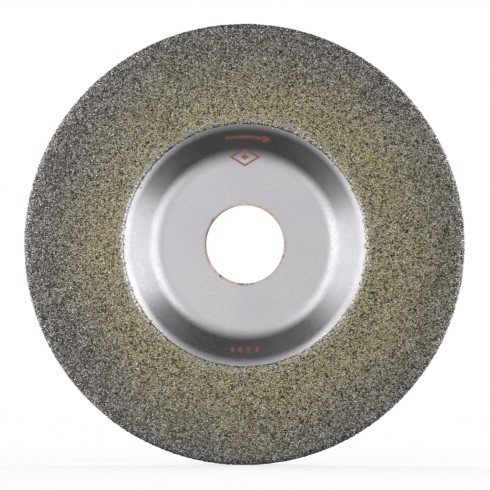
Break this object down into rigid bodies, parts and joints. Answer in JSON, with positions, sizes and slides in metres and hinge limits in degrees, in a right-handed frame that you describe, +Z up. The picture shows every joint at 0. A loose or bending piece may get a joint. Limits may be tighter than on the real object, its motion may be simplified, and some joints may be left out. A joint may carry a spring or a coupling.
{
  "type": "diamond grinding wheel",
  "caption": "Depressed-centre metal grinding wheel with a single plated layer of diamond grains on its flat face and rim, and a plain spindle bore.",
  "frame": {"origin": "centre of the spindle bore, in the plane of the seating face on the back of the hub", "axes": "+Y along the wheel's axis from the abrasive face towards the grinder, +Z up with the rotation arrow at the top, +X to the right as the abrasive face is looked at"},
  "size_m": [0.125, 0.0078, 0.125],
  "materials": {
    "steel": "reamed and bare in the bore",
    "copper": "thin copper strike, matt",
    "bright_nickel": "satin bright nickel",
    "bond_nickel": "rough nickel deposit between grains",
    "diamond": "blocky yellow-green diamond crystals in nickel",
    "coated_diamond": "blocky diamond crystals greyed by a thicker nickel deposit"
  },
  "bodies": {
    "root": {"steel_body": "steel", "copper_strike": "copper", "front_nickel": "bright_nickel", "back_nickel": "bright_nickel", "nickel_bond": "bond_nickel", "inner_grains": "diamond", "middle_grains": "diamond", "outer_grains": "coated_diamond", "edge_grains": "coated_diamond"}
  },
  "joints": []
}
